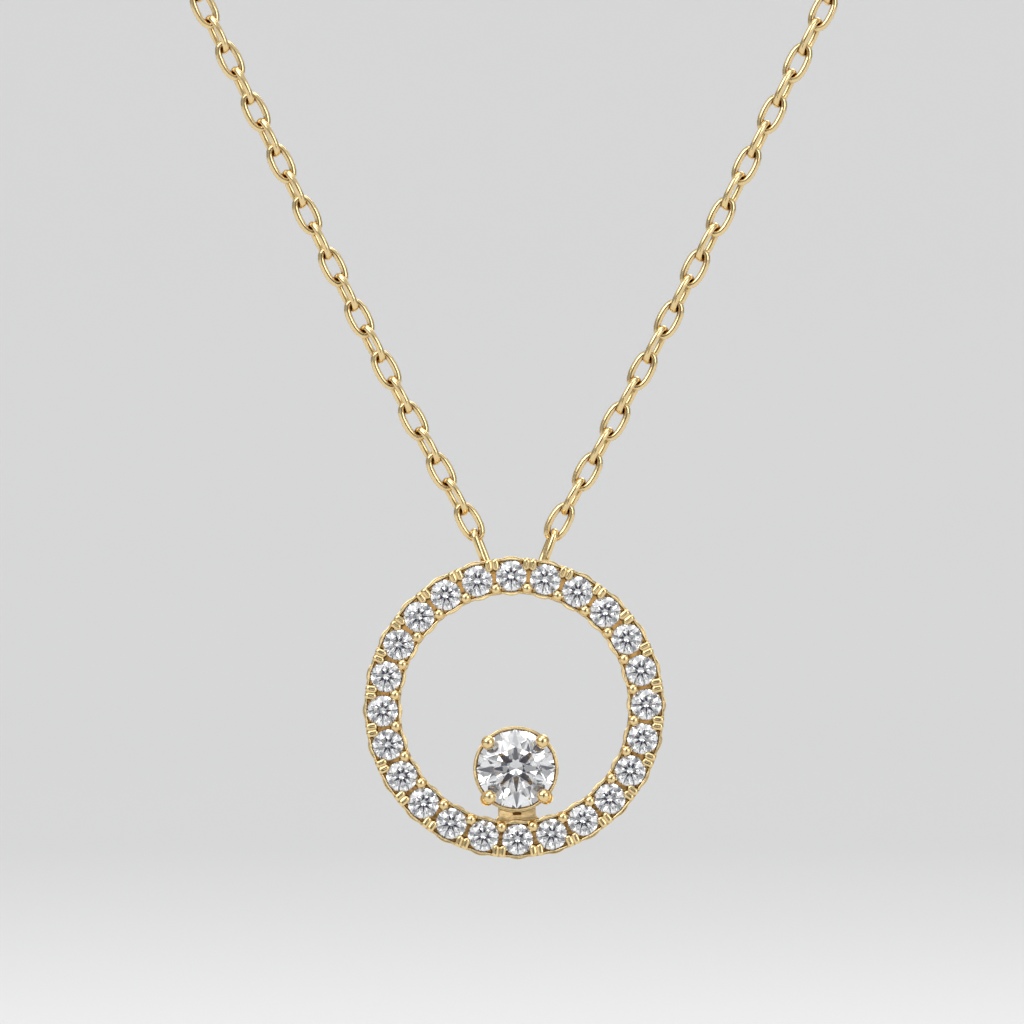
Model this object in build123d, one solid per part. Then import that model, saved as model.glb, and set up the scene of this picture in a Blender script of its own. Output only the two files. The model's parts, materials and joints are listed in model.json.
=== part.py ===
from build123d import *
import math
import os

# Diamond circle pendant on a cable chain, in millimetres.
# The origin is the nape, where the worn chain hangs. +X is the wearer's left, -Y the front, +Z up.
# Pendant pieces are drawn face up, x right, y up and z towards the front, then stood up in place.

# Circle of small stones
ring_outer_r = 6.0
ring_depth = 1.7
halo_count = 24
halo_stone_r = 0.615
rim = 0.165
scallop = 0.07
plate = 0.75
gallery_inset = 0.12
floor_depth = 0.26
halo_sink = 0.06
azure_r = 0.26
setting_turn = 1.4

# Beads that hold the small stones
outer_bead_r = 0.155
outer_bead_length = 0.5
outer_bead_out = 0.48
outer_bead_apart = 0.27
inner_bead_r = 0.23
inner_bead_in = 0.47
bead_sink = 0.03
bead_post_share = 0.85
bead_round_share = 0.85

# Main stone and its head
centre_stone_r = 1.555
centre_drop = 2.42
centre_rise = 0.05
seat_rim = 0.135
seat_height = 0.42
prong_r = 0.22
prong_head_r = 0.28
prong_circle_r = 1.52
prong_foot_r = 0.93
prong_rise = 0.29
prong_bow = 0.13
prong_bow_drop = 0.28
shoulder_r = 0.28
low_rail_r = 0.9
low_rail_width = 0.3
low_rail_height = 0.3
foot_height = 0.1
bridge_width = 1.48
bridge_flare = 0.3
bridge_back = 0.35
bridge_front = 0.25
slit_width = 0.34
slit_height = 0.08
slit_depth = 0.4

# Cut of the stones, as shares of the stone's radius, and angles in degrees
main_facets = 8
table_share = 0.57
star_share = 0.8
lower_share = 0.24
crown_angle = 34.5
pavilion_angle = 40.8
girdle_share = 0.055
stone_gap = 0.02

# Hanging pins in notches behind the top edge
pin_r = 0.11
pin_x = 1.07
pin_drop = 0.4
pin_height = 0.28
notch_width = 1.04
notch_ahead = 0.74
notch_room = 0.08

# Last links, the width of the chain, and the clasp
wire_r = 0.14
link_width = 0.97
end_link_length = 2.04
end_link_bend_r = 0.29
end_link_lean = 21.0
end_link_twist = 11.0
chain_gap = 0.05
ring_gap = 0.05
clasp_r = 2.0
clasp_wire_r = 0.45
eye_r = 0.6
eye_wire_r = 0.18
eye_bite = 0.2
end_ring_r = 1.2
end_ring_wire_r = 0.18

# How far the circle's centre hangs in front of the nape and below it, and the share of a straight
# that each bend of a strand takes
hang_front = 99.0
hang_drop = 111.5
strand_bend_share = 0.45

# The strand's points up to the clasp, chosen by hand: x sideways, y back and z up from the circle's centre
strand_route = [
    (4.62, 0.0, 12.4),
    (8.63, 0.0, 20.3),
    (16.0, 1.0, 35.2),
    (29.0, 9.0, 60.0),
    (42.0, 25.0, 80.0),
    (50.0, 48.0, 95.0),
    (45.0, 74.0, 105.0),
    (24.0, 94.0, 110.5),
]

# Worked out from the above
ring_place = Vector(0, -hang_front, -hang_drop)
lobe_r = halo_stone_r + rim
halo_r = ring_outer_r - lobe_r
ring_inner_r = halo_r - lobe_r
gallery_outer_r = ring_outer_r - gallery_inset
pitch_angle = 360 / halo_count
half_step = 180 / main_facets
halo_girdle_z = ring_depth - halo_sink
centre_girdle_z = ring_depth + centre_rise
bead_top = ring_depth - bead_sink
pin_y = ring_outer_r - pin_drop
end_link_reach = end_link_length - wire_r - end_link_bend_r
stand_up = Plane(origin=ring_place + Vector(0, pin_height, 0), x_dir=(1, 0, 0), z_dir=(0, -1, 0))


def around(radius, degrees, height=0.0):
    """A point of the face-up pendant at this radius and angle from the circle's centre."""
    turned = math.radians(degrees)
    return Vector(radius * math.cos(turned), radius * math.sin(turned), height)


def stone_angle(number):
    """Where stone number 0 is the top one."""
    return 90 + setting_turn + number * pitch_angle


head_place = around(centre_drop, 270 + setting_turn)


# Round brilliant cut

def cut_corners(radius):
    """Radius and height of each kind of corner of the cut."""
    half_girdle = girdle_share * radius / 2
    crown = math.tan(math.radians(crown_angle))
    pavilion = math.tan(math.radians(pavilion_angle))
    tip = math.cos(math.radians(half_step))
    table_r, star_r, lower_r = table_share * radius, star_share * radius, lower_share * radius
    return {
        "table": (table_r, half_girdle + (radius - table_r) * crown),
        "star": (star_r, half_girdle + (radius - star_r * tip) * crown),
        "upper": (radius, half_girdle),
        "girdle": (radius, -half_girdle),
        "lower": (lower_r, -half_girdle - (radius - lower_r * tip) * pavilion),
        "culet": (0.0, -half_girdle - radius * pavilion),
    }


def brilliant(radius):
    """A faceted round brilliant whose girdle is centred on the origin, table up."""
    cut = cut_corners(radius)
    corners = [Vector(0, 0, cut["culet"][1])]
    for step in range(2 * main_facets):
        kinds = ["upper", "girdle"] + (["table"] if step % 2 == 0 else ["star", "lower"])
        for corner_r, height in [cut[kind] for kind in kinds]:
            corners.append(around(corner_r, step * half_step, height))
    return ConvexPolyhedron(corners)


def seat_tool(radius, hole_r, below, above):
    """The space that a stone takes with its gap, and the open hole behind it."""
    cut = cut_corners(radius)
    slope = math.tan(math.radians(pavilion_angle))
    wide = radius + stone_gap
    girdle_low = cut["girdle"][1] - stone_gap
    profile = [
        (0, -below),
        (hole_r, -below),
        (hole_r, girdle_low - (wide - hole_r) * slope),
        (wide, girdle_low),
        (wide, cut["upper"][1] + stone_gap),
        (cut["star"][0] + stone_gap, cut["star"][1] + stone_gap),
        (cut["table"][0] + stone_gap, cut["table"][1] + stone_gap),
        (cut["table"][0] + stone_gap, above),
        (0, above),
    ]
    section = make_face(Polyline(*[(r, 0, z) for r, z in profile], close=True))
    return revolve(section, Axis.Z)


# Circle with its rims, floor, beads and seats

def ring_body():
    stone_spots = [around(halo_r, stone_angle(n)) for n in range(halo_count)]
    outline = Circle(ring_outer_r - scallop) - Circle(ring_inner_r + scallop)
    outline += [Pos(spot) * Circle(lobe_r) for spot in stone_spots]
    front = Pos(0, 0, ring_depth - plate) * extrude(outline, plate)
    gallery = Circle(gallery_outer_r) - Circle(ring_inner_r + gallery_inset)
    body = front + extrude(gallery, ring_depth - plate)
    groove = Circle(halo_r + halo_stone_r) - Circle(halo_r - halo_stone_r)
    body -= Pos(0, 0, ring_depth - floor_depth) * extrude(groove, 2 * floor_depth)
    well = Cylinder(halo_stone_r + stone_gap, 2 * floor_depth)
    return body - [Pos(spot.X, spot.Y, halo_girdle_z + floor_depth) * well for spot in stone_spots]


def round_bead(radius):
    """A bead on a post that reaches down into the plate, its middle at the origin."""
    return Sphere(radius) + Pos(0, 0, -plate / 4) * Cylinder(bead_post_share * radius, plate / 2)


def long_bead(radius, length):
    """The same drawn out along X, with a rounded top."""
    bar = Pos(0, 0, -plate / 2) * extrude(SlotOverall(length, 2 * radius), plate / 2 + radius)
    return fillet(bar.faces().sort_by(Axis.Z)[-1].edges(), bead_round_share * radius)


def beads():
    """Two long beads side by side at the outer end of each gap between stones, a round one inside."""
    outer_bead, inner_bead = long_bead(outer_bead_r, outer_bead_length), round_bead(inner_bead_r)
    outer_r, inner_r = halo_r + outer_bead_out, halo_r - inner_bead_in
    found = []
    for number in range(halo_count):
        gap_angle = stone_angle(number) + pitch_angle / 2
        for s in (-1, 1):
            beside = Vector(0, s * outer_bead_apart / 2, 0)
            found.append(Rot(0, 0, gap_angle) * Pos(outer_r, 0, bead_top) * Pos(beside) * outer_bead)
        found.append(Pos(around(inner_r, gap_angle, bead_top)) * inner_bead)
    return found


# Head of the main stone

def between(start, end, radius):
    """A round wire from one point to another."""
    way = end - start
    return Plane(origin=start, z_dir=way) * Cylinder(
        radius, way.length, align=(Align.CENTER, Align.CENTER, Align.MIN)
    )


def head():
    """Seat, low rail and four prongs, of which the lower two bow outwards and have full shoulders."""
    seat_r = centre_stone_r + seat_rim
    seat = Circle(seat_r) - Circle(seat_r - 2 * seat_rim)
    pieces = [Pos(0, 0, centre_girdle_z - seat_height) * extrude(seat, seat_height)]
    low_rail = Circle(low_rail_r + low_rail_width / 2) - Circle(low_rail_r - low_rail_width / 2)
    pieces.append(Pos(0, 0, foot_height) * extrude(low_rail, low_rail_height))
    bends = [(0, prong_r), (0, prong_r), (prong_bow, shoulder_r), (prong_bow, shoulder_r)]
    for quarter, (bow, bend_r) in enumerate(bends):
        degrees = 45 + setting_turn + 90 * quarter
        tip = around(prong_circle_r, degrees, centre_girdle_z + prong_rise)
        bend = around(prong_circle_r + bow, degrees, centre_girdle_z - prong_bow_drop)
        foot = around(prong_foot_r, degrees, foot_height)
        pieces += [between(foot, bend, prong_r), between(bend, tip, prong_r)]
        pieces += [Pos(bend) * Sphere(bend_r), Pos(tip) * Sphere(prong_head_r)]
    return [Pos(head_place) * piece for piece in pieces]


def bridge():
    """The short web that joins the head to the circle, widening where it meets the circle."""
    near = centre_drop + centre_stone_r - prong_r
    far = ring_inner_r + rim
    half, wide = bridge_width / 2, bridge_width / 2 + bridge_flare
    web = make_face(
        Polyline((-half, -near), (half, -near), (half, -ring_inner_r + rim),
                 (wide, -far), (-wide, -far), (-half, -ring_inner_r + rim), close=True)
    )
    height = ring_depth - bridge_back - bridge_front
    slit_y = -(centre_drop + centre_stone_r + seat_rim + slit_height)
    slit = Pos(0, slit_y, height - slit_depth) * extrude(SlotOverall(slit_width, slit_height), slit_depth)
    return Rot(0, 0, setting_turn) * Pos(0, 0, bridge_back) * (extrude(web, height) - slit)


# Notches and pins that the last links hang on

def notch(side):
    """Open behind and above, so the last link hangs and swings in it."""
    inward = end_link_length - end_link_reach + notch_room
    block = Box(
        notch_width, inward + 2 * pin_drop, pin_height + notch_ahead,
        align=(Align.CENTER, Align.MIN, Align.MIN),
    )
    return Pos(side * pin_x, pin_y - inward, 0) * block


def pin(side):
    """A bar across the notch, let into both walls and flush with the gallery outside."""
    bar = Pos(side * pin_x, pin_y, pin_height) * Rot(0, 90, 0) * Cylinder(pin_r, notch_width + 2 * pin_r)
    return bar & Cylinder(gallery_outer_r, 2 * ring_depth)


def setting():
    """Circle, beads, head, bridge and pins as one soldered solid, cut to seat every stone."""
    metal = ring_body() - [notch(side) for side in (-1, 1)]
    metal += [pin(side) for side in (-1, 1)] + beads()
    metal = metal + head() + bridge()
    cutters = []
    for number in range(halo_count):
        tool = seat_tool(halo_stone_r, azure_r, halo_girdle_z + rim, ring_depth)
        cutters.append(Pos(around(halo_r, stone_angle(number), halo_girdle_z)) * tool)
    main_tool = seat_tool(
        centre_stone_r, low_rail_r - low_rail_width / 2, centre_girdle_z + rim, ring_depth
    )
    cutters.append(Pos(head_place + Vector(0, 0, centre_girdle_z)) * main_tool)
    return metal - cutters


# Last links, chain and clasp

def link_path(length, width, end_r):
    """An oval of four tangent arcs in the XY plane, long side along Y, through the wire's middle."""
    a, b = length / 2 - wire_r, width / 2 - wire_r
    side_r = ((a - end_r) ** 2 + b * b - end_r * end_r) / (2 * (b - end_r))
    lean = math.atan2(a - end_r, side_r - b)
    join_x, join_y = side_r * math.cos(lean) - (side_r - b), side_r * math.sin(lean)
    end_top = ThreePointArc((join_x, join_y), (0, a), (-join_x, join_y))
    side_left = ThreePointArc((-join_x, join_y), (-b, 0), (-join_x, -join_y))
    end_low = ThreePointArc((-join_x, -join_y), (0, -a), (join_x, -join_y))
    side_right = ThreePointArc((join_x, -join_y), (b, 0), (join_x, join_y))
    return Wire([end_top.edge(), side_left.edge(), end_low.edge(), side_right.edge()])


def swept(path, radius):
    """A round bar of this radius along a path."""
    start = Plane(origin=path @ 0, z_dir=path % 0)
    return sweep(start * Circle(radius), path=path)


def end_link_way(side):
    """The pin's middle, and the direction of the last link from it."""
    lean = math.radians(end_link_lean)
    up_link = Vector(side * math.sin(lean), 0, math.cos(lean))
    return ring_place + Vector(side * pin_x, 0, pin_y), up_link


def end_link(side):
    """The last link, edge on with a slight twist, its lower bend centred on the pin."""
    pin_place, up_link = end_link_way(side)
    across = Vector(0, 1, 0).rotate(Axis((0, 0, 0), up_link), side * end_link_twist)
    middle = pin_place + up_link * (end_link_reach - end_link_length / 2)
    facing = Plane(origin=middle, x_dir=across, z_dir=across.cross(up_link))
    return facing * swept(link_path(end_link_length, link_width, end_link_bend_r), wire_r)


def chain(side, finish_x):
    """One strand as a tube of the links' width, from the last link to the clasp."""
    pin_place, up_link = end_link_way(side)
    points = [pin_place + up_link * (end_link_reach + chain_gap)]
    points += [ring_place + Vector(side * x, y, z) for x, y, z in strand_route]
    points.append(Vector(side * finish_x, 0, 0))
    radii = []
    for before, here, after in zip(points, points[1:], points[2:]):
        turn = math.radians((here - before).get_angle(after - here))
        shorter = min((here - before).length, (after - here).length)
        radii.append(strand_bend_share * shorter / math.tan(turn / 2))
    path = FilletPolyline(*points, radius=radii)
    tube = swept(path, link_width / 2)
    expected = path.length * math.pi * (link_width / 2) ** 2
    print(f"strand {side:+d}: length {path.length:.1f}, radii", [round(r, 1) for r in radii])
    print(f"  volume {tube.volume:.2f}, section times length {expected:.2f}")
    return tube


def clasp():
    """A plain closed ring with an eye on the wearer's left."""
    body = Rot(90, 0, 0) * Torus(clasp_r, clasp_wire_r)
    eye_x = clasp_r + clasp_wire_r + eye_r + eye_wire_r - eye_bite
    return body + Pos(eye_x, 0, 0) * Rot(90, 0, 0) * Torus(eye_r, eye_wire_r), eye_x


def clasp_end_ring():
    """The ring on the other strand's end, through the clasp."""
    near = clasp_r - clasp_wire_r - end_ring_wire_r - ring_gap
    ring_x = near + end_ring_r
    return Pos(-ring_x, 0, 0) * Torus(end_ring_r, end_ring_wire_r), ring_x


# Write one file for each piece

os.makedirs("parts", exist_ok=True)
clasp_piece, eye_x = clasp()
end_ring_piece, end_ring_x = clasp_end_ring()
pieces = {
    "pendant_setting": stand_up * setting(),
    "end_link_left": end_link(-1),
    "end_link_right": end_link(1),
    "chain_left": chain(-1, end_ring_x + end_ring_r + end_ring_wire_r + chain_gap),
    "chain_right": chain(1, eye_x + eye_r + eye_wire_r + chain_gap),
    "clasp": clasp_piece,
    "clasp_end_ring": end_ring_piece,
}
centre_spot = Pos(head_place + Vector(0, 0, centre_girdle_z)) * Rot(0, 0, setting_turn)
pieces["centre_diamond"] = stand_up * centre_spot * brilliant(centre_stone_r)
halo_stone = brilliant(halo_stone_r)
for number in range(halo_count):
    spot = around(halo_r, stone_angle(number), halo_girdle_z)
    seated = Pos(spot) * Rot(0, 0, stone_angle(number))
    pieces[f"halo_diamond_{number + 1:02d}"] = stand_up * seated * halo_stone

for name, piece in pieces.items():
    print(f"{name}: {len(piece.solids())} solid, {piece.volume:.4f} cubic mm, valid {piece.is_valid}")
    export_step(piece, f"parts/{name}.step")
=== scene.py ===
import json
import math

import bpy
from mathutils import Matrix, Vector

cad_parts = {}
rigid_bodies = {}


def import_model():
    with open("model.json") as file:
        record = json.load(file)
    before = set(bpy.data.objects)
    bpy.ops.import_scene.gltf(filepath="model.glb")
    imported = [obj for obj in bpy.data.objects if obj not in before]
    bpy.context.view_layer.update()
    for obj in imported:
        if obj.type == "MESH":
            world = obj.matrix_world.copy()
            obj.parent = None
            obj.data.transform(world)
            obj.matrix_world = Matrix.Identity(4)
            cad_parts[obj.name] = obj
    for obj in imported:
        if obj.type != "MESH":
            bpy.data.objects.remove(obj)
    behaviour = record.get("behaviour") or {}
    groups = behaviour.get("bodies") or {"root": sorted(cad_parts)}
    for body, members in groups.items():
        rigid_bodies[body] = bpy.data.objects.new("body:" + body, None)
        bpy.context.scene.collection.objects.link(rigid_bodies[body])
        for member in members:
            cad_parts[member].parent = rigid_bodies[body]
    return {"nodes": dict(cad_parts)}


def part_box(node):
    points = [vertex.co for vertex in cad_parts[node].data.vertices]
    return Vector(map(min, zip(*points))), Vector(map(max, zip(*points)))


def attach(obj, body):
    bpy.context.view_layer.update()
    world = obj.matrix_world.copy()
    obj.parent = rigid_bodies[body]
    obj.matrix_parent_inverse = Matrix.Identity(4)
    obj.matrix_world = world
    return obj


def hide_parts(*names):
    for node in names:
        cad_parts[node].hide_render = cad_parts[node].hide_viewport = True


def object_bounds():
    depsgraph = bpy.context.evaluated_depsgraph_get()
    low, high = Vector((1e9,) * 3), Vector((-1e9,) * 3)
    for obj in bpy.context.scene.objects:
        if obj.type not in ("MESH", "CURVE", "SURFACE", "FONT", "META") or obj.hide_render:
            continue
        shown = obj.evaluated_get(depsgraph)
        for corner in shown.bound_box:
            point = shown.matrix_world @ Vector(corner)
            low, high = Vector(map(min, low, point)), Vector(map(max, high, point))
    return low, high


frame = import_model()
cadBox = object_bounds()
nodes = frame["nodes"]
print("frame loaded,", len(nodes), "nodes")

mm = 0.001


# where things hang, in the part's own frame

hang = {
    "ringCentre": Vector((0, -99.0, -111.5)) * mm,
    "pinLine": Vector((0, -99.0, -105.9)) * mm,
    "frontFace": -100.42 * mm,
}


# camera: level and square to the circle, with a long lens

photo = {
    "sizePx": 1024,
    "mmPerPx": 0.03956,
    "ringCentrePx": (513.9, 707.3),
    "lensMm": 300,
    "sensorMm": 36,
    "nearest": 0.02,  # metres, as the farthest is
    "farthest": 20,
}


def makeCamera():
    half = (photo["sizePx"] - 1) / 2
    scale = photo["mmPerPx"] * mm
    aimX = hang["ringCentre"].x + (half - photo["ringCentrePx"][0]) * scale
    aimZ = hang["ringCentre"].z + (photo["ringCentrePx"][1] - half) * scale
    distance = photo["sizePx"] * scale * photo["lensMm"] / photo["sensorMm"]
    data = bpy.data.cameras.new("photoCamera")
    data.lens = photo["lensMm"]
    data.sensor_width = photo["sensorMm"]
    data.clip_start = photo["nearest"]
    data.clip_end = photo["farthest"]
    camera = bpy.data.objects.new("photoCamera", data)
    camera.location = (aimX, hang["frontFace"] - distance, aimZ)
    camera.rotation_euler = (math.radians(90), 0, 0)
    bpy.context.scene.collection.objects.link(camera)
    bpy.context.scene.camera = camera
    print("camera stands", round(distance / mm), "mm in front of the circle")


makeCamera()


# node trees: a wrapped socket, so that maths is written as an expression

class Wire:
    def __init__(self, tree, socket):
        self.tree = tree
        self.socket = socket

    def __add__(self, other):
        return self.tree.maths("ADD", self, other)

    def __radd__(self, other):
        return self.tree.maths("ADD", other, self)

    def __sub__(self, other):
        return self.tree.maths("SUBTRACT", self, other)

    def __rsub__(self, other):
        return self.tree.maths("SUBTRACT", other, self)

    def __mul__(self, other):
        return self.tree.maths("MULTIPLY", self, other)

    def __rmul__(self, other):
        return self.tree.maths("MULTIPLY", other, self)

    def __truediv__(self, other):
        return self.tree.maths("DIVIDE", self, other)

    def __rtruediv__(self, other):
        return self.tree.maths("DIVIDE", other, self)

    def __pow__(self, other):
        return self.tree.maths("POWER", self, other)

    def __rpow__(self, other):
        return self.tree.maths("POWER", other, self)

    def __mod__(self, other):
        return self.tree.maths("MODULO", self, other)

    def __rmod__(self, other):
        return self.tree.maths("MODULO", other, self)


class Tree:
    def __init__(self, tree):
        self.tree = tree

    def make(self, kind, settings=None, sockets=None):
        node = self.tree.nodes.new(kind)
        for key, value in (settings or {}).items():
            setattr(node, key, value)
        for key, value in (sockets or {}).items():
            if isinstance(value, Wire):
                self.tree.links.new(value.socket, node.inputs[key])
            else:
                node.inputs[key].default_value = value
        return node

    def add(self, kind, settings=None, sockets=None, out=0):
        return Wire(self, self.make(kind, settings, sockets).outputs[out])

    def noise(self, place, scale, detail):
        return self.add("ShaderNodeTexNoise", None, {"Vector": place, "Scale": scale, "Detail": detail})

    def maths(self, operation, *values):
        return self.add("ShaderNodeMath", {"operation": operation}, dict(enumerate(values)))

    def pointPlace(self):
        # x and y of each point
        place = self.make("ShaderNodeSeparateXYZ", None, {0: self.add("GeometryNodeInputPosition")})
        return Wire(self, place.outputs["X"]), Wire(self, place.outputs["Y"])


# materials

gold = {
    "base": (0.85, 0.65, 0.335, 1),
    "paintedCreviceShade": (0.36, 0.19, 0.05, 1),  # painted shade: the colour put into the crevices in place of the shade that falls there
    "creviceMm": 0.4,
    "shadeFrom": 0.3,
    "shadeTo": 0.85,
    "roughness": 0.15,
    "roughnessSpread": 0.08,
    "cloudScale": 900,
    "cloudDetail": 3,
    "cloudShare": 0.1,  # share of random tone in the mask, the rest is painted shade from how closed in the place is
    "grainScale": 2200,
    "grainDetail": 2,
    "bumpMm": 0.008,
    "settingEdgeMm": 0.07,
    "chainEdgeMm": 0.01,
    "raySamples": 8,
}
diamond = {
    "tints": ((0.99, 0.995, 1.0, 1), (0.97, 0.98, 1.0, 1)),
    "cloudScale": 1500,
    "cloudDetail": 1,
    "refraction": 2.417,
}


def newMaterial(name):
    material = bpy.data.materials.new(name)
    material.use_nodes = True
    material.node_tree.nodes.clear()
    return material, Tree(material.node_tree)


def finishMaterial(tree, shader):
    output = tree.make("ShaderNodeOutputMaterial")
    tree.tree.links.new(shader.socket, output.inputs["Surface"])


def polishedGold(name, softEdgeMm):
    # bright where the piece is open, with painted shade darkening its crevices and a little random tone,
    # with softened edges and a fine grain
    material, tree = newMaterial(name)
    place = tree.add("ShaderNodeTexCoord", out="Object")
    cloud = tree.noise(place, gold["cloudScale"], gold["cloudDetail"])
    grain = tree.noise(place, gold["grainScale"], gold["grainDetail"])
    openness = tree.add("ShaderNodeAmbientOcclusion", {"samples": gold["raySamples"]},
                        {"Distance": gold["creviceMm"] * mm}, out="AO")
    # painted shade: the colour goes towards the crevice colour where ambient occlusion finds the place
    # closed in, with a small share of random tone mixed in
    paintedShadeAndTone = tree.add("ShaderNodeMapRange", {"clamp": True}, {
        "Value": openness * (1 - gold["cloudShare"]) + cloud * gold["cloudShare"],
        "From Min": gold["shadeFrom"], "From Max": gold["shadeTo"]})
    colour = tree.add("ShaderNodeMix", {"data_type": "RGBA"},
                      {"Factor": paintedShadeAndTone, "A": gold["paintedCreviceShade"], "B": gold["base"]}, out="Result")
    rough = gold["roughness"] + (cloud - 0.5) * gold["roughnessSpread"]
    rounded = tree.add("ShaderNodeBevel", {"samples": gold["raySamples"]}, {"Radius": softEdgeMm * mm})
    bump = tree.add("ShaderNodeBump", None, {
        "Strength": 1.0, "Distance": gold["bumpMm"] * mm, "Height": grain, "Normal": rounded})
    shader = tree.add("ShaderNodeBsdfPrincipled", None, {
        "Base Color": colour, "Metallic": 1.0, "Roughness": rough, "Normal": bump})
    finishMaterial(tree, shader)
    return material


def clearDiamond(name):
    material, tree = newMaterial(name)
    place = tree.add("ShaderNodeTexCoord", out="Object")
    cloud = tree.noise(place, diamond["cloudScale"], diamond["cloudDetail"])
    tint = tree.add("ShaderNodeMix", {"data_type": "RGBA"}, {
        "Factor": cloud, "A": diamond["tints"][0], "B": diamond["tints"][1]}, out="Result")
    shader = tree.add("ShaderNodeBsdfPrincipled", None, {
        "Base Color": tint, "Roughness": 0.0, "IOR": diamond["refraction"], "Transmission Weight": 1.0})
    finishMaterial(tree, shader)
    return material


settingGold = polishedGold("settingGold", gold["settingEdgeMm"])
chainGold = polishedGold("chainGold", gold["chainEdgeMm"])
brilliantDiamond = clearDiamond("brilliantDiamond")


def dress(thing, material):
    thing.data.materials.clear()
    thing.data.materials.append(material)


for name, node in nodes.items():
    if "diamond" in name:
        dress(node, brilliantDiamond)
    elif name == "pendant_setting":
        dress(node, settingGold)
    else:
        dress(node, chainGold)
print("materials given to", len(nodes), "nodes")


# chain, in mm and degrees: oval links along a smooth line, made by Geometry Nodes

chain = {
    "linkLength": 1.72,
    "linkWidth": 0.97,
    "wireRadius": 0.137,
    "pitch": 1.15,
    "roundness": 2.35,  # 2 gives an oval, more a squarer link
    "endShare": 0.17,  # how far a link's points are drawn towards its ends
    "nearLinks": 34,  # finer links, counted from the pendant
    "nearPoints": 24,
    "nearSides": 8,
    "farPoints": 12,
    "farSides": 5,
    "turn": 24,  # what every other link lacks of a square turn
    "turnSpread": 7,
    "evenShare": 0.3,  # the links between take this share of the spread
    "settleLinks": 8,  # the last ones, which come to lie square for the clasp
    "seed": 4,
    "neckMiddle": -50,
    "faceSpread": 45,
    "routeSteps": 32,
    "routeOrder": 3,
    "pinOut": 1.07,
    "lastLinkReach": 1.61,
    "lastLinkLean": 21,
    "firstGap": 0.285,
    "claspReach": 0.2,
}
strandRoute = [
    (4.62, 0, 12.4), (8.63, 0, 20.3), (16, 1, 35.2), (29, 9, 60),
    (42, 25, 80), (50, 48, 95), (45, 74, 105), (24, 94, 110.5),
]


def smoothLine(name, points):
    # a mesh of short straight edges along a smooth curve
    data = bpy.data.curves.new(name, "CURVE")
    data.dimensions = "3D"
    data.resolution_u = chain["routeSteps"]
    spline = data.splines.new("NURBS")
    spline.points.add(len(points) - 1)
    for spot, place in zip(spline.points, points):
        spot.co = (*place, 1)
    spline.order_u = chain["routeOrder"]
    spline.use_endpoint_u = True
    curve = bpy.data.objects.new(name, data)
    bpy.context.scene.collection.objects.link(curve)
    graph = bpy.context.evaluated_depsgraph_get()
    mesh = bpy.data.meshes.new_from_object(curve.evaluated_get(graph))
    bpy.data.objects.remove(curve)
    return mesh


def lineLength(mesh):
    spots = [v.co for v in mesh.vertices]
    return sum((b - a).length for a, b in zip(spots, spots[1:]))


def oneLink(tree, given, points, sides):
    # a circle pressed to a rounded oval, long side along Y, its points drawn towards the ends
    circle = tree.add("GeometryNodeCurvePrimitiveCircle", {"mode": "RADIUS"},
                      {"Resolution": points, "Radius": 1.0})
    x, y = tree.pointPlace()
    twiceSine = x * y * 2  # the sine of twice the angle
    angle = tree.maths("ARCTAN2", y, x) + twiceSine * given["End Share"]

    def pressed(operation, half):
        value = tree.maths(operation, angle)
        size = tree.maths("ABSOLUTE", value) ** (2 / given["Roundness"])
        return tree.maths("SIGN", value) * size * half

    place = tree.add("ShaderNodeCombineXYZ", None, {
        0: pressed("COSINE", given["Half Width"]), 1: pressed("SINE", given["Half Length"])})
    oval = tree.add("GeometryNodeSetPosition", None, {"Geometry": circle, "Position": place})
    section = tree.add("GeometryNodeCurvePrimitiveCircle", {"mode": "RADIUS"},
                       {"Resolution": sides, "Radius": given["Wire Radius"]})
    link = tree.add("GeometryNodeCurveToMesh", None, {"Curve": oval, "Profile Curve": section})
    return tree.add("GeometryNodeSetShadeSmooth", None, {"Geometry": link})


def linkTurn(tree, given, index):
    # along the line, facing away from the neck, with every other link turned nearly square
    x, y = tree.pointPlace()
    facing = tree.add("ShaderNodeCombineXYZ", None, {
        0: x * tree.maths("ABSOLUTE", x) / given["Face Spread"], 1: y - given["Neck Middle"]})
    along = tree.add("FunctionNodeAlignRotationToVector", {"axis": "Y"},
                     {"Vector": tree.add("GeometryNodeInputTangent")})
    faced = tree.add("FunctionNodeAlignRotationToVector", {"axis": "Z", "pivot_axis": "Y"},
                     {"Rotation": along, "Vector": facing})
    stray = tree.add("FunctionNodeRandomValue", {"data_type": "FLOAT"}, {
        2: 0 - given["Turn Spread"], 3: given["Turn Spread"], "ID": index, "Seed": given["Seed"]}, out=1)
    odd = index % 2
    loose = tree.add("ShaderNodeMath", {"operation": "DIVIDE", "use_clamp": True},
                     {0: given["Link Count"] - 1 - index, 1: given["Settle Links"]})
    stray = stray * (odd * (1 - chain["evenShare"]) + chain["evenShare"])
    turn = odd * math.pi / 2 + loose * (stray - odd * given["Turn"])
    twist = tree.add("FunctionNodeEulerToRotation", None, {
        0: tree.add("ShaderNodeCombineXYZ", None, {1: turn})})
    return tree.add("FunctionNodeRotateRotation", {"rotation_space": "LOCAL"}, {0: faced, 1: twist})


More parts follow.
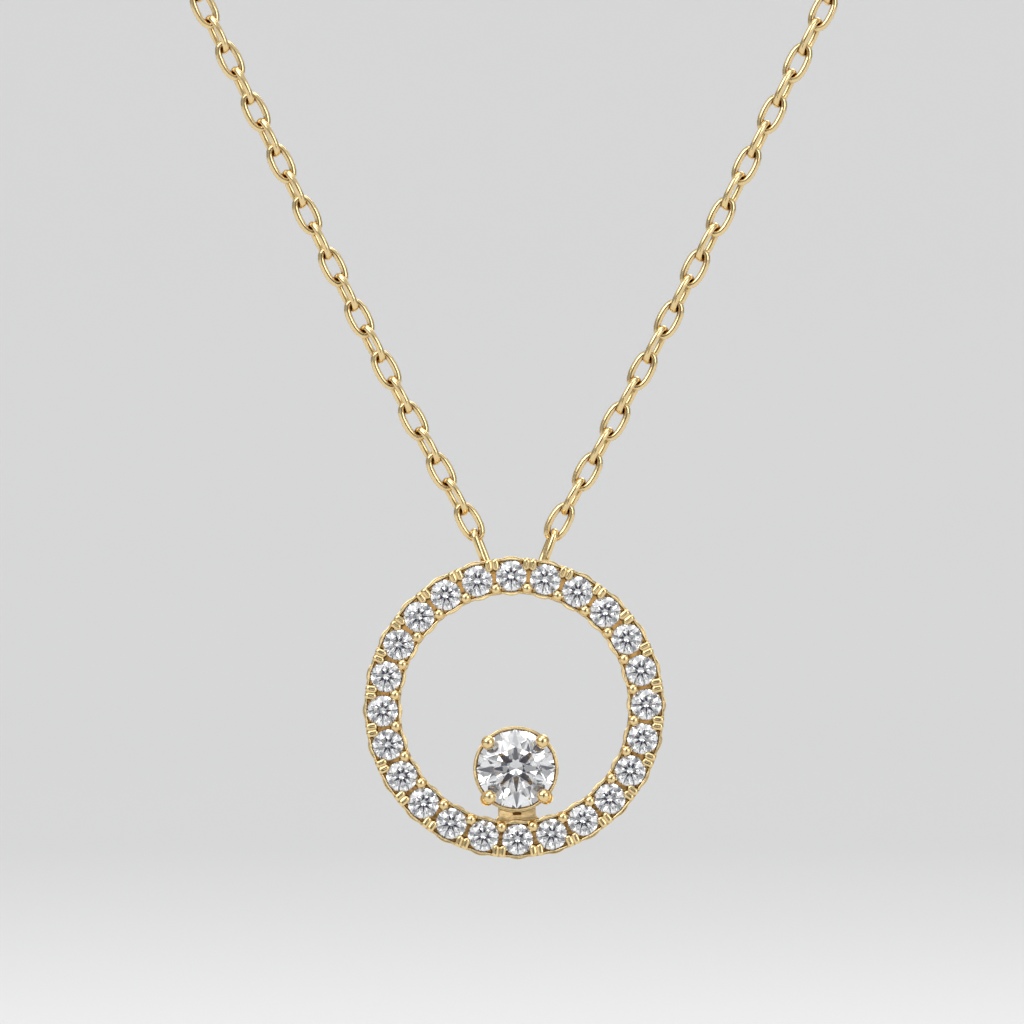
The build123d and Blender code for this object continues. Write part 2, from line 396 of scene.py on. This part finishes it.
def linkTree():
    group = bpy.data.node_groups.new("chainLinks", "GeometryNodeTree")
    face = group.interface
    face.new_socket("Geometry", in_out="OUTPUT", socket_type="NodeSocketGeometry")
    labels = {
        "NodeSocketGeometry": ["Geometry"],
        "NodeSocketInt": ["Link Count", "Near Links", "Near Points", "Near Sides",
                          "Far Points", "Far Sides", "Settle Links", "Seed"],
        "NodeSocketFloat": ["Half Length", "Half Width", "Wire Radius", "Roundness", "End Share",
                            "Turn", "Turn Spread", "Neck Middle", "Face Spread"],
        "NodeSocketMaterial": ["Material"],
    }
    for kind, names in labels.items():
        for label in names:
            face.new_socket(label, in_out="INPUT", socket_type=kind)
    tree = Tree(group)
    inputs = tree.make("NodeGroupInput")
    given = {socket.name: Wire(tree, socket) for socket in inputs.outputs if socket.name}

    # the line, with one point at the middle of each link
    line = tree.add("GeometryNodeMeshToCurve", None, {0: given["Geometry"]})
    line = tree.add("GeometryNodeResampleCurve", {"mode": "COUNT"},
                    {"Curve": line, "Count": given["Link Count"]})
    index = tree.add("GeometryNodeInputIndex")
    turned = linkTurn(tree, given, index)

    # finer links near the pendant, lighter ones round the neck
    near = tree.add("FunctionNodeCompare", {"data_type": "INT", "operation": "LESS_THAN"},
                    {2: index, 3: given["Near Links"]})
    far = tree.add("FunctionNodeBooleanMath", {"operation": "NOT"}, {0: near})
    both = tree.make("GeometryNodeJoinGeometry")
    for label, chosen in (("Far", far), ("Near", near)):
        link = oneLink(tree, given, given[label + " Points"], given[label + " Sides"])
        placed = tree.add("GeometryNodeInstanceOnPoints", None, {
            "Points": line, "Selection": chosen, "Instance": link, "Rotation": turned})
        group.links.new(placed.socket, both.inputs["Geometry"])
    made = Wire(tree, both.outputs["Geometry"])
    made = tree.add("GeometryNodeRealizeInstances", None, {"Geometry": made})
    made = tree.add("GeometryNodeSetMaterial", None, {"Geometry": made, "Material": given["Material"]})
    output = tree.make("NodeGroupOutput")
    group.links.new(made.socket, output.inputs["Geometry"])
    return group


def grown(name, mesh, group, values):
    # runs a tree on a mesh and gives the plain mesh that comes out
    host = bpy.data.objects.new(name + "Line", mesh)
    bpy.context.scene.collection.objects.link(host)
    modifier = host.modifiers.new("tree", "NODES")
    modifier.node_group = group
    for item in group.interface.items_tree:
        if item.in_out == "INPUT" and item.name in values:
            modifier[item.identifier] = values[item.name]
    graph = bpy.context.evaluated_depsgraph_get()
    made = bpy.data.meshes.new_from_object(host.evaluated_get(graph))
    bpy.data.objects.remove(host)
    piece = bpy.data.objects.new(name, made)
    dress(piece, values["Material"])
    bpy.context.scene.collection.objects.link(piece)
    return piece


def makeStrand(name, side, lastPoint, group):
    lean = math.radians(chain["lastLinkLean"])
    pin = hang["pinLine"] + Vector((side * chain["pinOut"], 0, 0)) * mm
    apex = pin + Vector((side * math.sin(lean), 0, math.cos(lean))) * chain["lastLinkReach"] * mm
    route = [hang["ringCentre"] + Vector((side * x, y, z)) * mm for x, y, z in strandRoute]
    start = apex + (route[0] - apex).normalized() * chain["firstGap"] * mm
    line = smoothLine(name + "Route", [start] + route + [lastPoint])
    length = lineLength(line)
    flat = 1 if side > 0 else 0  # the clasp's eye stands upright, the ring on the other end lies flat
    count = 2 * round((length / (chain["pitch"] * mm) - flat) / 2) + flat + 1
    piece = grown(name, line, group, {
        "Link Count": count,
        "Near Links": chain["nearLinks"],
        "Near Points": chain["nearPoints"],
        "Near Sides": chain["nearSides"],
        "Far Points": chain["farPoints"],
        "Far Sides": chain["farSides"],
        "Settle Links": chain["settleLinks"],
        "Seed": chain["seed"] + side,
        "Half Length": (chain["linkLength"] / 2 - chain["wireRadius"]) * mm,
        "Half Width": (chain["linkWidth"] / 2 - chain["wireRadius"]) * mm,
        "Wire Radius": chain["wireRadius"] * mm,
        "Roundness": chain["roundness"],
        "End Share": chain["endShare"],
        "Turn": side * math.radians(chain["turn"]),
        "Turn Spread": math.radians(chain["turnSpread"]),
        "Neck Middle": chain["neckMiddle"] * mm,
        "Face Spread": chain["faceSpread"] * mm,
        "Material": chainGold,
    })
    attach(piece, "chain")
    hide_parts("chain_left" if side < 0 else "chain_right")
    print(name, count, "links,", round(length / mm, 1), "mm, pitch", round(length / mm / (count - 1), 4))


links = linkTree()
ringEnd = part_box("clasp_end_ring")[0].x - chain["claspReach"] * mm
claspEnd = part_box("clasp")[1].x + chain["claspReach"] * mm
makeStrand("chainLinksLeft", -1, Vector((ringEnd, 0, 0)), links)
makeStrand("chainLinksRight", 1, Vector((claspEnd, 0, 0)), links)


# stage, in metres and degrees: pale floor, soft light, and cards that only show in reflections

stage = {
    "floorBelow": 0.09,
    "flatRadius": 2.2,
    "riseRadius": 1.2,
    "riseSteps": 8,
    "wallHeight": 1.5,
    "around": 64,
    "colour": (0.72, 0.717, 0.711, 1),
    "roughness": 0.9,
    "skyColour": (0.97, 0.985, 1.0, 1),
    "skyStrength": 0.68,
}
softBoxes = [
    {"name": "keyLight", "turn": -42, "rise": 36, "away": 1.0, "size": 0.62, "glow": 3.0},
    {"name": "fillLight", "turn": 46, "rise": 16, "away": 1.0, "size": 0.55, "glow": 2.3},
    {"name": "topLight", "turn": 10, "rise": 78, "away": 1.1, "size": 0.8, "glow": 2.0},
    {"name": "backLight", "turn": 160, "rise": 40, "away": 1.3, "size": 0.7, "glow": 2.0},
]
wallLight = {"place": Vector((0, 1.0, 1.6)), "aim": Vector((0, 3.2, 0.2)), "size": 1.6, "power": 20}
lensLight = {"away": 0.11, "angle": 4.5, "glow": 1.8}
lensCard = {"away": 0.12, "acrossAngle": 12, "upAngle": 28, "around": 48, "colour": (0.065, 0.07, 0.095, 1)}
sideCards = {"away": 1.25, "low": -0.5, "high": 0.55, "steps": 8, "colour": (0.35, 0.35, 0.35, 1)}
sideCardTurns = {"leftCard": (-138, -84), "rightCard": (84, 138)}


def towards(turn, rise, away):
    # a place seen from the circle: turn to the right of straight ahead, and rise above level
    turn, rise = math.radians(turn), math.radians(rise)
    level = away * math.cos(rise)
    offset = (level * math.sin(turn), -level * math.cos(turn), away * math.sin(rise))
    return hang["ringCentre"] + Vector(offset)


def plainSurface(name, spots, faces, colour, roughness):
    material, tree = newMaterial(name)
    finishMaterial(tree, tree.add("ShaderNodeBsdfPrincipled", None, {
        "Base Color": colour, "Roughness": roughness, "Specular IOR Level": 0.0}))
    mesh = bpy.data.meshes.new(name)
    mesh.from_pydata(spots, [], faces)
    mesh.shade_smooth()
    mesh.materials.append(material)
    thing = bpy.data.objects.new(name, mesh)
    bpy.context.scene.collection.objects.link(thing)
    return thing


def makeFloor():
    # a flat disc whose edge curves up into a round wall
    level = cadBox[0].z - stage["floorBelow"]
    profile = [(0.0, 0.0), (stage["flatRadius"], 0.0)]
    for step in range(1, stage["riseSteps"] + 1):
        turn = math.radians(step * 90 / stage["riseSteps"])
        profile.append((stage["flatRadius"] + stage["riseRadius"] * math.sin(turn),
                        stage["riseRadius"] * (1 - math.cos(turn))))
    profile.append((profile[-1][0], stage["wallHeight"]))
    around = stage["around"]
    spots, faces = [], []
    for radius, height in profile:
        for step in range(around):
            turn = math.tau * step / around
            spots.append((radius * math.cos(turn), radius * math.sin(turn), level + height))
    for row in range(len(profile) - 1):
        for step in range(around):
            a = row * around + step
            b = row * around + (step + 1) % around
            faces.append((a, b, b + around, a + around))
    plainSurface("paleFloor", spots, faces, stage["colour"], stage["roughness"])


def onlyReflected(thing):
    thing.visible_camera = thing.visible_diffuse = thing.visible_shadow = False


def makeLensCard():
    # a dark upright oval, mirrored as the stones' dark arrows and the dark middles of the beads
    middle = towards(0, 0, lensCard["away"])
    across = lensCard["away"] * math.tan(math.radians(lensCard["acrossAngle"]))
    up = lensCard["away"] * math.tan(math.radians(lensCard["upAngle"]))
    spots = []
    for step in range(lensCard["around"]):
        turn = math.tau * step / lensCard["around"]
        spots.append(middle + Vector((across * math.cos(turn), 0, up * math.sin(turn))))
    face = tuple(range(len(spots)))
    onlyReflected(plainSurface("lensCard", spots, [face], lensCard["colour"], roughness=1.0))


def makeSideCards():
    # curved grey cards on both sides
    for name, (fromTurn, toTurn) in sideCardTurns.items():
        steps = sideCards["steps"]
        spots, faces = [], []
        for step in range(steps + 1):
            foot = towards(fromTurn + (toTurn - fromTurn) * step / steps, 0, sideCards["away"])
            spots += [foot + Vector((0, 0, sideCards["low"])), foot + Vector((0, 0, sideCards["high"]))]
        for step in range(steps):
            a = 2 * step
            faces.append((a, a + 2, a + 3, a + 1))
        onlyReflected(plainSurface(name, spots, faces, sideCards["colour"], roughness=1.0))


def makeSky():
    world = bpy.data.worlds.new("studioSky")
    bpy.context.scene.world = world
    world.use_nodes = True
    background = world.node_tree.nodes["Background"]
    background.inputs["Color"].default_value = stage["skyColour"]
    background.inputs["Strength"].default_value = stage["skyStrength"]


def areaLight(name, shape, size, power, place, aim):
    data = bpy.data.lights.new(name, "AREA")
    data.shape = shape
    data.size = size
    data.energy = power
    lamp = bpy.data.objects.new(name, data)
    lamp.location = place
    lamp.rotation_euler = (aim - place).to_track_quat("-Z", "Y").to_euler()
    lamp.visible_camera = False
    bpy.context.scene.collection.objects.link(lamp)
    return lamp


def makeSoftBoxes():
    for box in softBoxes:
        power = box["glow"] * math.pi * box["size"] ** 2
        place = towards(box["turn"], box["rise"], box["away"])
        areaLight(box["name"], "SQUARE", box["size"], power, place, hang["ringCentre"])


def makeWallLight():
    # lights the wall behind, so that the picture's ground is pale
    lamp = areaLight("wallLight", "SQUARE", wallLight["size"], wallLight["power"],
                     wallLight["place"], wallLight["aim"])
    lamp.visible_glossy = lamp.visible_transmission = False


def makeLensLight():
    # a small soft light on the gold only, which the faces that look at the lens give back
    radius = lensLight["away"] * math.tan(math.radians(lensLight["angle"]))
    power = lensLight["glow"] * math.pi * math.pi * radius ** 2
    place = towards(0, 0, lensLight["away"])
    lamp = areaLight("lensLight", "DISK", 2 * radius, power, place, hang["ringCentre"])
    lit = bpy.data.collections.new("goldPieces")
    for thing in bpy.context.scene.objects:
        if thing.type == "MESH" and thing.data.materials[0] in (settingGold, chainGold):
            lit.objects.link(thing)
    lamp.light_linking.receiver_collection = lit


def setLook():
    scene = bpy.context.scene
    scene.view_settings.view_transform = "Standard"
    scene.cycles.max_bounces = 20
    scene.cycles.transmission_bounces = 20
    scene.cycles.glossy_bounces = 6
    scene.cycles.diffuse_bounces = 2
    scene.cycles.sample_clamp_indirect = 6


makeFloor()
makeLensCard()
makeSideCards()
makeSky()
makeLensLight()
makeSoftBoxes()
makeWallLight()
setLook()
print("stage ready")
